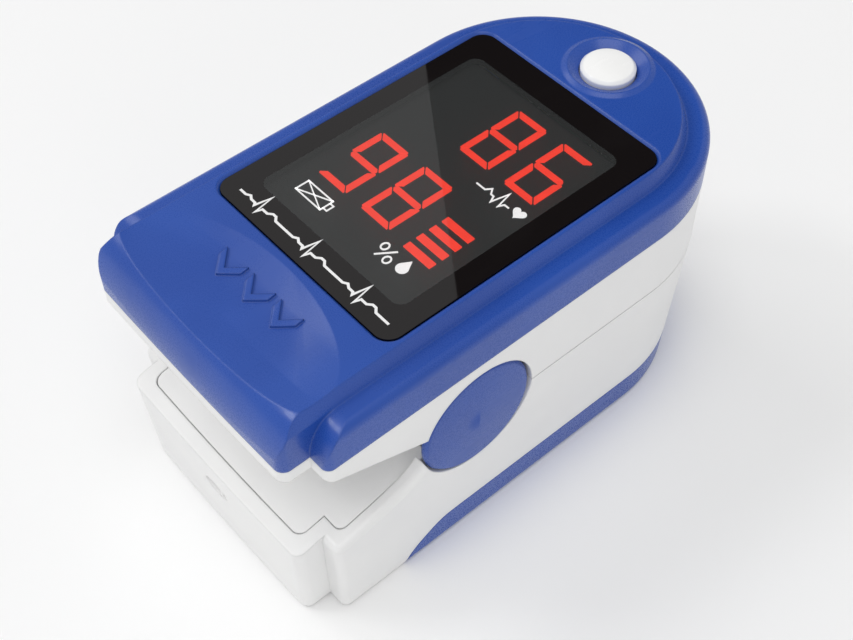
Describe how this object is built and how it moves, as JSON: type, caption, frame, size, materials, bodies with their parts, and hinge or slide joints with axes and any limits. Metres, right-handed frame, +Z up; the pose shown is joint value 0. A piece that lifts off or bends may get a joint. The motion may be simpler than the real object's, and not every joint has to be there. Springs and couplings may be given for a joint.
{
  "type": "fingertip pulse oximeter",
  "caption": "Clip-on fingertip pulse oximeter: sprung hinged halves with silicone finger pads, lit display window, push button and sliding battery cover.",
  "frame": {"origin": "centre of the bounding box's bottom face, at table height, in millimetres in the source and metres in the row", "axes": "+Z up; +Y towards the rounded end where the finger goes in; +X to the user's right with the thumb end nearest"},
  "size_m": [0.0312, 0.057, 0.0317],
  "materials": {
    "blue_plastic": "satin moulded plastic",
    "white_plastic": "satin moulded plastic",
    "white_button": "smooth moulded plastic",
    "smoked_window": "polished, printed black border",
    "display_grey": "fine matt",
    "lit_bars": "lit from behind",
    "board_green": "solder mask",
    "black_plastic": "moulded",
    "grey_silicone": "soft matt silicone",
    "led_chip": "clear potting over chips",
    "clear_lens": "clear moulded lens",
    "cell_can": null,
    "plated_steel": "nickel plated",
    "spring_steel": "oiled spring wire",
    "screw_steel": "zinc plated",
    "ribbon_film": "amber film"
  },
  "bodies": {
    "lower_half": {"lower_shell": "white_plastic", "inner_frame": "white_plastic", "lower_pad": "grey_silicone", "sensor_board": "board_green", "photodiode": "black_plastic", "sensor_lens": "clear_lens", "pivot_pin_left": "plated_steel", "pivot_pin_right": "plated_steel", "pivot_cap_left": "blue_plastic", "pivot_cap_right": "blue_plastic", "torsion_spring_left": "spring_steel", "torsion_spring_right": "spring_steel", "ribbon_cable": "ribbon_film", "cell_left": "cell_can", "cell_right": "cell_can", "contact_spring_left": "plated_steel", "contact_spring_right": "plated_steel", "contact_bridge": "plated_steel", "base_screw_left": "screw_steel", "base_screw_right": "screw_steel", "loop_bar": "white_plastic"},
    "upper_half": {"top_cover": "blue_plastic", "display_window": "smoked_window", "led_display": "display_grey", "light_bars": "lit_bars", "main_board": "board_green", "controller_chip": "black_plastic", "buzzer": "black_plastic", "tact_switch": "black_plastic", "upper_shell": "white_plastic", "upper_pad": "grey_silicone", "emitter_board": "board_green", "emitter_leds": "led_chip", "emitter_lens": "clear_lens", "cover_screw_left_front": "screw_steel", "cover_screw_left_back": "screw_steel", "cover_screw_right_front": "screw_steel", "cover_screw_right_back": "screw_steel"},
    "battery_door": {"battery_cover": "blue_plastic"},
    "button": {"power_button": "white_button"}
  },
  "joints": [
    {"name": "clip_hinge", "type": "hinge", "parent": "lower_half", "child": "upper_half", "pos_m": [0, -0.00896, 0.01784], "axis": [1, 0, 0], "range_deg": [0, 22], "stiffness_Nm_per_rad": 0.35, "springref_deg": -20.05, "deforming": ["torsion_spring_left", "torsion_spring_right", "ribbon_cable"]},
    {"name": "button_press", "type": "slide", "parent": "upper_half", "child": "button", "axis": [0, 0, -1], "range_m": [0, 0.0004], "stiffness_N_per_m": 1500, "springref_m": -0.0002},
    {"name": "battery_cover_slide", "type": "slide", "parent": "lower_half", "child": "battery_door", "axis": [0, 1, 0], "range_m": [0, 0.0465]}
  ]
}
